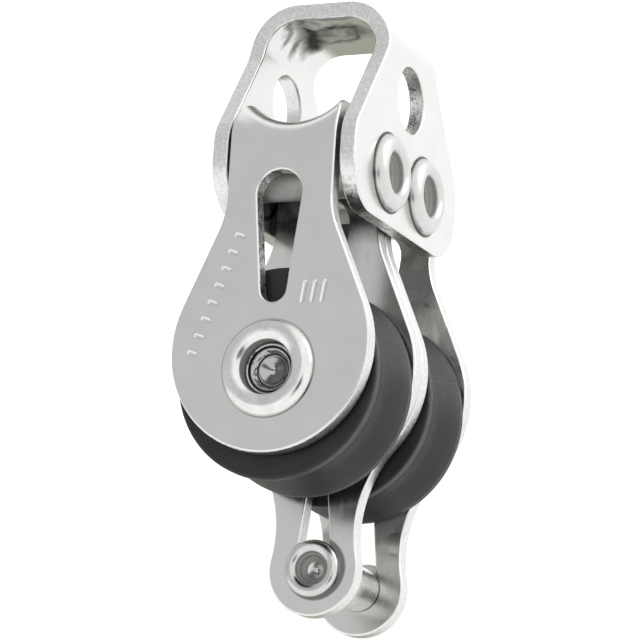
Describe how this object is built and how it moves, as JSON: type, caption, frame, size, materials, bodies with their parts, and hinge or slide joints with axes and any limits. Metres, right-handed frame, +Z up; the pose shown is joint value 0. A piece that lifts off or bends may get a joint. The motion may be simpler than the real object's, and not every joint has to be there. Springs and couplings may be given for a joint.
{
  "type": "double sheave block",
  "caption": "Small stainless pulley block with grooved plastic sheaves side by side, folded cheek straps, a pierced head bracket and a becket below.",
  "frame": {"origin": "centre of the cross hole through the head bracket, on the block's middle plane", "axes": "+X along the cross hole and the head rivets, +Y along the axle from the front sheave to the rear one, +Z up from becket to head"},
  "size_m": [0.015, 0.0205, 0.0434],
  "materials": {
    "sheet_stainless": "satin",
    "rivet_stainless": "polished",
    "sheave_acetal": "satin",
    "bearing_steel": "polished",
    "shield_acetal": "satin"
  },
  "bodies": {
    "frame": {"head_bracket": "sheet_stainless", "head_rivet_front": "rivet_stainless", "head_rivet_rear": "rivet_stainless", "front_cheek_strap": "sheet_stainless", "rear_cheek_strap": "sheet_stainless", "axle_tube": "rivet_stainless", "axle_core_rivet": "rivet_stainless", "becket_rivet": "rivet_stainless", "becket_tube": "rivet_stainless", "front_inner_race": "bearing_steel", "rear_inner_race": "bearing_steel"},
    "front_wheel": {"front_sheave": "sheave_acetal", "front_outer_race": "bearing_steel", "front_shield_outboard": "shield_acetal", "front_shield_inboard": "shield_acetal"},
    "front_ball_set": {"front_balls": "bearing_steel"},
    "rear_wheel": {"rear_sheave": "sheave_acetal", "rear_outer_race": "bearing_steel", "rear_shield_outboard": "shield_acetal", "rear_shield_inboard": "shield_acetal"},
    "rear_ball_set": {"rear_balls": "bearing_steel"}
  },
  "joints": [
    {"name": "front_sheave_spin", "type": "hinge", "parent": "frame", "child": "front_wheel", "pos_m": [0, -0.0048, -0.0216], "axis": [0, 1, 0], "continuous": true},
    {"name": "front_ball_orbit", "type": "hinge", "parent": "frame", "child": "front_ball_set", "pos_m": [0, -0.0048, -0.0216], "axis": [0, 1, 0], "continuous": true},
    {"name": "rear_sheave_spin", "type": "hinge", "parent": "frame", "child": "rear_wheel", "pos_m": [0, 0.0048, -0.0216], "axis": [0, 1, 0], "continuous": true},
    {"name": "rear_ball_orbit", "type": "hinge", "parent": "frame", "child": "rear_ball_set", "pos_m": [0, 0.0048, -0.0216], "axis": [0, 1, 0], "continuous": true}
  ],
  "couplings": [
    {"joint": "front_ball_orbit", "follows": "front_sheave_spin", "ratio": 0.6},
    {"joint": "rear_ball_orbit", "follows": "rear_sheave_spin", "ratio": 0.6}
  ]
}
